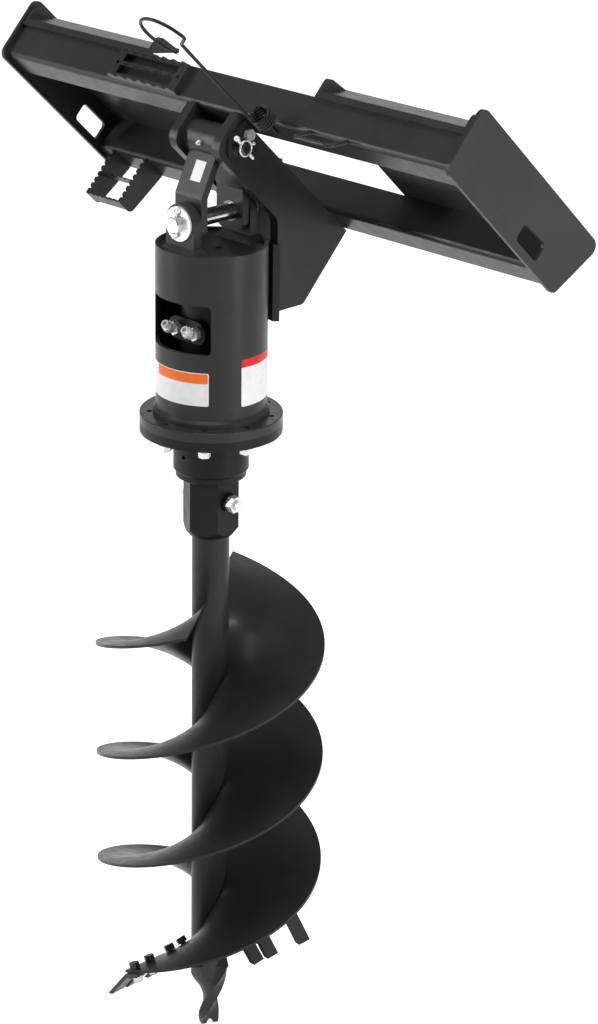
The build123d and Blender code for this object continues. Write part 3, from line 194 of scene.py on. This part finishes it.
MATERIALS = {
    "paint": paint("black_paint", 0.022, 0.028, 0.32),
    "flight": paint("flight_paint", 0.015, 0.020, 0.34),
    "casting": paint("casting_paint", 0.008, 0.011, 0.38, peel=0.3, gloss=0.14),
    "teeth": paint("tooth_paint", 0.030, 0.042, 0.36, peel=0.3),
    "wire": paint("spring_wire_paint", 0.008, 0.012, 0.34),
    "zinc": metal("zinc_plate", (0.68, 0.68, 0.69), (0.76, 0.76, 0.77), 0.3, metallic=0.5, marked=0.03),
    "pin": metal("dark_pin_steel", (0.09, 0.09, 0.092), (0.14, 0.14, 0.143), 0.26, marked=0.02),
    "chrome": metal("bright_pin_steel", (0.68, 0.68, 0.69), (0.76, 0.76, 0.77), 0.2, marked=0.01),
    "bronze": metal("bronze_bush", (0.42, 0.29, 0.13), (0.55, 0.4, 0.2), 0.34),
    "steel": metal("gear_steel", (0.36, 0.36, 0.37), (0.5, 0.5, 0.51), 0.3, stretch=(1, 1, 14)),
    "oxide": metal("black_oxide", (0.03, 0.03, 0.031), (0.06, 0.06, 0.062), 0.4),
    "rubber": plain("seal_rubber", grey(0.012), grey(0.02), 0.6),
    # Near-black and without gloss: painted shade standing in for the dark inside of a hole in the nose
    "hole_shade": plain("painted_hole_shade", grey(0.001), grey(0.002), 0.8, gloss=0.0),
    "white_film": plain("white_film", grey(0.74), grey(0.8), 0.35),
    "orange_film": plain("orange_film", (0.78, 0.16, 0.025), (0.84, 0.18, 0.032), 0.35),
    "red_film": plain("red_film", (0.6, 0.02, 0.02), (0.66, 0.028, 0.028), 0.35),
}

# Finish of each solid that isn't plain black paint
FINISHES = {
    "flight": ["first_flight", "second_flight", "auger_pipe"],
    "teeth": ["pilot_bit", "digging_teeth"],
    "casting": ["gearbox_nose", "hex_hub", "hydraulic_motor", "gearbox_cover", "port_block"],
    "wire": ["hose_arm", "hose_arm_coil"],
    "zinc": ["tilt_pin_washers", "cotter_pins", "keeper_bolt", "lynch_pin", "hub_bolt", "flange_bolts",
             "tooth_nuts", "hose_adapters", "grease_fitting"],
    "chrome": ["tilt_pin"],
    "pin": ["swing_pin", "strap_bushes"],
    "bronze": ["knuckle_bushes"],
    "steel": ["sun_gear", "planet_gear_1", "planet_gear_2", "planet_gear_3", "ring_gear",
              "output_bearings", "output_carrier"],
    "oxide": ["tooth_bolts"],
    "rubber": ["shaft_seal"],
}

# Width of the rounded edges, in metres, and the solids that have them
SOFT_EDGES = {
    0.0016: ["left_end_plate", "right_end_plate", "left_boom_plate", "right_boom_plate", "front_strap",
             "rear_strap", "housing_flange", "gearbox_nose", "hex_hub", "cradle_saddle", "front_lug",
             "rear_lug"],
    0.001: ["upper_channel", "lower_channel", "left_coupler_plate", "right_coupler_plate", "left_hook_lip",
            "right_hook_lip", "hook_gussets", "lock_ledges", "knuckle_tube", "drive_housing",
            "keeper_plate", "swing_pin", "tilt_pin_washers", "port_block", "digging_teeth"],
    0.0006: ["upper_step", "lower_step", "tooth_bolts", "tooth_nuts", "flange_bolts", "keeper_bolt",
             "hub_bolt", "hose_adapters"],
}
SOFT_EDGE_ANGLE = radians(40)
SOFT_EDGE_STEPS = 2


def finish_nodes():
    """Gives every solid its finish, and small rounded edges that catch the light."""
    finish_of = {node: finish for finish, names in FINISHES.items() for node in names}
    for name, node in nodes.items():
        node.data.materials.clear()
        node.data.materials.append(MATERIALS[finish_of.get(name, "paint")])
    for width, names in SOFT_EDGES.items():
        for name in names:
            edge = nodes[name].modifiers.new("soft_edges", "BEVEL")
            edge.width = width
            edge.segments = SOFT_EDGE_STEPS
            edge.limit_method = "ANGLE"
            edge.angle_limit = SOFT_EDGE_ANGLE
            edge.use_clamp_overlap = True
            edge.harden_normals = True


# Shapes of the added pieces
SHARP_ANGLE = radians(35)


def piece(name, mesh, material, body):
    """Puts a mesh into the scene as a piece that moves with a body."""
    thing = bpy.data.objects.new(name, mesh)
    scene.collection.objects.link(thing)
    mesh.materials.append(MATERIALS[material])
    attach(thing, body)
    return thing


def finished(shape, name):
    """Turns an edited shape into a mesh with smooth faces and sharp corners."""
    bmesh.ops.recalc_face_normals(shape, faces=shape.faces)
    mesh = bpy.data.meshes.new(name)
    shape.to_mesh(mesh)
    shape.free()
    for face in mesh.polygons:
        face.use_smooth = True
    mesh.set_sharp_from_angle(angle=SHARP_ANGLE)
    return mesh


def wall(shape, lower, upper):
    """Faces between two closed rings of points."""
    count = len(lower)
    for i in range(count):
        j = (i + 1) % count
        shape.faces.new((lower[i], lower[j], upper[j], upper[i]))


def closed_loft(name, *shells):
    """Closed shells in one mesh, each through rings of equal point count and with flat ends."""
    shape = bmesh.new()
    for rings in shells:
        points = [[shape.verts.new(point) for point in ring] for ring in rings]
        ends = [shape.faces.new(points[0]), shape.faces.new(points[-1])]
        for lower, upper in zip(points, points[1:]):
            wall(shape, lower, upper)
        bmesh.ops.triangulate(shape, faces=ends)
    return finished(shape, name)


def circle_points(centre, radius, height, count):
    """Points of a level circle at a height above the centre."""
    turns = [2 * pi * i / count for i in range(count)]
    return [centre + Vector((radius * cos(a), radius * sin(a), height)) for a in turns]


# Blank films on the housing and the strap, with heights below the swing pin and angles from the front
FILM_T = 0.00025
FILM_LIFT = 0.0001
FILM_ROUND = 0.004
FILM_STEPS = 40
CORNER_STEPS = 6
BAND_LIFT = 0.0004   # clear of the white film below it
BAND_ROUND = 0.0025
FRONT_FILM_ANGLES = -43, 43.5
FRONT_FILM_HEIGHTS = -0.4270, -0.493
FRONT_BAND_ANGLES = -22, 42.5
FRONT_BAND_HEIGHTS = -0.4285, -0.448
SIDE_FILM_ANGLES = 78, 135
SIDE_FILM_HEIGHTS = -0.4205, -0.499
SIDE_BAND_HEIGHTS = -0.4045, -0.4205
STRAP_SLOPE = Vector((0, -0.44721, -0.89443))
STRAP_BEND = Vector((0.0178, -0.025, -0.022))   # from the swing pin
STRAP_FILM_DROP = 0.014
STRAP_FILM_SIZE = 0.0268, 0.0404
STRAP_FILM_FACES = 0.0001, 0.0004


def curved_film(name, material, angles, heights, corners, lift=FILM_LIFT):
    """A thin film round the housing, between two directions in degrees from the front towards +X."""
    start, end = angles
    top, bottom = heights
    radius = max(corners)
    length = radians(end - start) * HOUSING_R
    near = [radius * (1 - cos(pi / 2 * k / CORNER_STEPS)) for k in range(CORNER_STEPS + 1)]
    middle = [radius + (length - 2 * radius) * k / FILM_STEPS for k in range(1, FILM_STEPS)]
    columns = near + middle + [length - at for at in reversed(near)]
    rings = []
    for at in columns:
        inward = max(0, radius - min(at, length - at))
        trims = [corner - sqrt(max(0, corner ** 2 - inward ** 2)) if corner else 0 for corner in corners]
        high = top - trims[0]
        low = bottom + trims[1]
        angle = radians(start) + at / HOUSING_R
        out = Vector((sin(angle), -cos(angle), 0))
        inner = HOUSING_R + lift
        outer = HOUSING_R + (lift + FILM_T)
        section = ((inner, high), (outer, high), (outer, low), (inner, low))
        rings.append([SWING_PIN + out * reach + Vector((0, 0, height)) for reach, height in section])
    piece(name, closed_loft(name, rings), material, "drive")


def strap_film():
    """A flat film on the sloping front strap."""
    width, drop = STRAP_FILM_SIZE
    across = Vector((-width, 0, 0))
    along = STRAP_SLOPE * drop
    lift = across.cross(along).normalized()
    corner = SWING_PIN + STRAP_BEND + STRAP_SLOPE * STRAP_FILM_DROP
    points = []
    for height in STRAP_FILM_FACES:
        base = corner + lift * height
        points += [base, base + across, base + across + along, base + along]
    faces = [(3, 2, 1, 0), (4, 5, 6, 7), (0, 1, 5, 4), (1, 2, 6, 5), (2, 3, 7, 6), (3, 0, 4, 7)]
    mesh = bpy.data.meshes.new("strap_film")
    mesh.from_pydata(points, [], faces)
    piece("strap_film", mesh, "white_film", "knuckle")


def films():
    strap_film()
    curved_film("front_film", "white_film", FRONT_FILM_ANGLES, FRONT_FILM_HEIGHTS, (FILM_ROUND, FILM_ROUND))
    curved_film("front_film_band", "orange_film", FRONT_BAND_ANGLES, FRONT_BAND_HEIGHTS, (BAND_ROUND, 0),
                BAND_LIFT)
    curved_film("side_film_band", "red_film", SIDE_FILM_ANGLES, SIDE_BAND_HEIGHTS, (FILM_ROUND, 0))
    curved_film("side_film", "white_film", SIDE_FILM_ANGLES, SIDE_FILM_HEIGHTS, (0, FILM_ROUND))


# Details of the drive head, with profiles as radius and height
NOSE_PROFILE = ((0.0738, 0.042), (0.0738, 0.002), (0.0695, -0.003), (0.069, -0.013), (0.0675, -0.0145),
                (0.0602, -0.0145), (0.0602, 0.042))
NOSE_STEPS = 96
# A near-black disc in the front of the nose: painted shade where a hole would be dark
HOLE_SHADE_R = 0.004
HOLE_SHADE_STEPS = 32
HOLE_SHADE_HEIGHT = 0.037   # above the lower end of the nose
HOLE_SHADE_REACHES = 0.0725, 0.0740   # back and front of the near-black disc, painted hole shade, from the nose's axis
BOLT_CIRCLE_R = 0.120
BOLT_COUNT = 9
BOLT_HEAD = 0.009
WASHER_PROFILE = ((0.0138, -0.0002), (0.0143, -0.0032), (0.0135, -0.0042))
WASHER_STEPS = 40
HEAD_PROFILE = ((0.0122, -0.0043), (0.0122, -0.0150), (0.0106, -0.0165))


def nose_skirt():
    """The straight lower rim of the gearbox nose, round the top of the hub, and a near-black disc in its
    front: painted shade where a hole would be dark.
    """
    centre = Vector((SWING_PIN.x, SWING_PIN.y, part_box("gearbox_nose")[0][2]))
    shape = bmesh.new()
    rings = [[shape.verts.new(p) for p in circle_points(centre, r, z, NOSE_STEPS)] for r, z in NOSE_PROFILE]
    for lower, upper in zip(rings, rings[1:] + rings[:1]):
        wall(shape, lower, upper)
    piece("nose_skirt", finished(shape, "nose_skirt"), "casting", "drive")
    # Painted shade: a near-black disc where a hole in the nose would be dark
    hole_shade = centre + Vector((0, 0, HOLE_SHADE_HEIGHT))
    turns = [2 * pi * i / HOLE_SHADE_STEPS for i in range(HOLE_SHADE_STEPS)]
    rings = [[hole_shade + Vector((HOLE_SHADE_R * cos(a), -reach, HOLE_SHADE_R * sin(a))) for a in turns]
             for reach in HOLE_SHADE_REACHES]
    piece("nose_hole_shade", closed_loft("nose_hole_shade", rings), "hole_shade", "drive")


def bolt_heads():
    """Washers and hexagon heads of the bolts under the flange."""
    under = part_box("flange_bolts")[0][2] + BOLT_HEAD
    shells = []
    for k in range(BOLT_COUNT):
        angle = radians(360 / BOLT_COUNT * k)
        centre = SWING_PIN + Vector((BOLT_CIRCLE_R * sin(angle), -BOLT_CIRCLE_R * cos(angle), 0))
        centre.z = under
        shells.append([circle_points(centre, r, z, WASHER_STEPS) for r, z in WASHER_PROFILE])
        shells.append([circle_points(centre, r, z, 6) for r, z in HEAD_PROFILE])
    piece("flange_bolt_heads", closed_loft("flange_bolt_heads", *shells), "zinc", "drive")


# Pilot bit with its forged twist, with pairs of sizes at the blade's top and tip
PILOT_LENGTH = 0.162
PILOT_BLADE = 0.138
PILOT_WIDTHS = 0.078, 0.036
PILOT_THICK = 0.036, 0.015
PILOT_TAPER = 0.7   # how early the blade narrows
PILOT_START = radians(52)
PILOT_TWIST = radians(168)
PILOT_LEVELS = 48
PILOT_STEPS = 14
NOTCH_DEPTH = 0.010
NOTCH_SHARE = 0.42   # of the blade's half width
NOTCH_FADE = 3   # depths up the blade
STUB_R = 0.022
STUB_STEPS = 64
STUB_END = 0.110   # above the tip
STUB_BEVEL = 0.0015
STUB_SUNK = 0.004   # into the pipe


def pilot_ring(tip, height, share):
    """One level of the blade, at a height above the tip and a share of the way down it."""
    width = PILOT_WIDTHS[0] + (PILOT_WIDTHS[1] - PILOT_WIDTHS[0]) * share ** PILOT_TAPER
    thick = PILOT_THICK[0] + (PILOT_THICK[1] - PILOT_THICK[0]) * share
    turn = Matrix.Rotation(PILOT_START - PILOT_TWIST * share, 3, "Z")
    across = [-1 + 2 * i / PILOT_STEPS for i in range(PILOT_STEPS + 1)]
    fade = max(0, 1 - height / (NOTCH_FADE * NOTCH_DEPTH))
    ring = []
    for side, order in ((-1, across), (1, across[::-1])):
        for u in order:
            lift = NOTCH_DEPTH * max(0, 1 - (u / NOTCH_SHARE) ** 2) * fade
            point = turn @ Vector((u * width / 2, side * thick / 2, 0))
            ring.append(tip + point + Vector((0, 0, height + lift)))
    return ring


def pilot():
    """Stub and twisted fishtail blade, in place of the plainer solid."""
    tip = Vector((SWING_PIN.x, SWING_PIN.y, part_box("pilot_bit")[0][2]))
    shares = [k / PILOT_LEVELS for k in range(PILOT_LEVELS + 1)]
    rings = [pilot_ring(tip, PILOT_BLADE * up, 1 - up) for up in shares]
    blade = piece("pilot_blade", closed_loft("pilot_blade", rings), "teeth", "auger")
    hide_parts("pilot_bit")
    profile = ((STUB_R - STUB_BEVEL, STUB_END), (STUB_R, STUB_END + STUB_BEVEL),
               (STUB_R, PILOT_LENGTH + STUB_SUNK))
    rings = [circle_points(tip, r, z, STUB_STEPS) for r, z in profile]
    piece("pilot_stub", closed_loft("pilot_stub", rings), "teeth", "auger")


# Light, surround and floor
SURROUND = 0.3
FLOOR_HALF = 60
FLOOR_GREYS = 0.74, 0.76
FLOOR_GLOW = 0.68, 0.92   # near the part and far from it
FLOOR_GLOW_REACH = 1.5, 7.0
PART_MIDDLE = 0, -0.2, -0.8
STRIP_SIZE = 0.45, 3.4


def area_light(name, place, target, size, power):
    data = bpy.data.lights.new(name, "AREA")
    data.shape = "RECTANGLE"
    data.size, data.size_y = size
    data.energy = power
    lamp = bpy.data.objects.new(name, data)
    scene.collection.objects.link(lamp)
    lamp.location = place
    lamp.rotation_euler = (Vector(target) - Vector(place)).to_track_quat("-Z", "Y").to_euler()


def set_world():
    """A plain soft surround."""
    world = bpy.data.worlds.new("world")
    world.use_nodes = True
    scene.world = world
    background = world.node_tree.nodes["Background"]
    background.inputs["Color"].default_value = (1, 1, 1, 1)
    background.inputs["Strength"].default_value = SURROUND


def whiten(tree, shader, strength):
    """Adds a glow that only the camera, reflections and see-through rays meet."""
    path = tree.nodes.new("ShaderNodeLightPath")
    seen = path.outputs["Is Camera Ray"]
    for ray in ("Is Glossy Ray", "Is Transmission Ray"):
        either = tree.nodes.new("ShaderNodeMath")
        either.operation = "MAXIMUM"
        tree.links.new(seen, either.inputs[0])
        tree.links.new(path.outputs[ray], either.inputs[1])
        seen = either.outputs[0]
    level = tree.nodes.new("ShaderNodeMath")
    level.operation = "MULTIPLY"
    tree.links.new(seen, level.inputs[0])
    tree.links.new(strength, level.inputs[1])
    glow = tree.nodes.new("ShaderNodeEmission")
    tree.links.new(level.outputs[0], glow.inputs["Strength"])
    both = tree.nodes.new("ShaderNodeAddShader")
    tree.links.new(shader.outputs[0], both.inputs[0])
    tree.links.new(glow.outputs[0], both.inputs[1])
    tree.links.new(both.outputs[0], tree.nodes["Material Output"].inputs["Surface"])


def set_floor():
    """A wide pale floor that keeps the shadow and otherwise looks white to the camera."""
    mesh = bpy.data.meshes.new("floor")
    corners = [(x * FLOOR_HALF, y * FLOOR_HALF, GROUND) for x, y in ((-1, -1), (1, -1), (1, 1), (-1, 1))]
    mesh.from_pydata(corners, [], [(0, 1, 2, 3)])
    floor = bpy.data.objects.new("floor", mesh)
    scene.collection.objects.link(floor)
    material, tree, shader, coords = new_material("floor")
    low, high = FLOOR_GREYS
    cloud = noise(tree, coords, 3)
    tree.links.new(colours(tree, cloud, grey(low), grey(high)), shader.inputs["Base Color"])
    shader.inputs["Roughness"].default_value = 0.9
    shader.inputs["Specular IOR Level"].default_value = 0.1
    away = tree.nodes.new("ShaderNodeVectorMath")
    away.operation = "LENGTH"
    tree.links.new(coords, away.inputs[0])
    whiten(tree, shader, spread(tree, away.outputs["Value"], *FLOOR_GLOW, *FLOOR_GLOW_REACH))
    mesh.materials.append(material)


def set_lights():
    area_light("left_strip", (-2.6, -3.2, 0.6), PART_MIDDLE, STRIP_SIZE, 110)
    area_light("right_strip", (3.6, 0.4, 0.5), PART_MIDDLE, STRIP_SIZE, 112)
    area_light("back_sheet", (-2.9, 3.0, 1.5), PART_MIDDLE, (3.2, 1.8), 22)
    area_light("overhead", (0.4, -0.8, 3.6), (0, -0.2, -0.4), (3.0, 3.0), 96)


set_camera()
finish_nodes()
films()
nose_skirt()
bolt_heads()
pilot()
set_world()
set_floor()
set_lights()
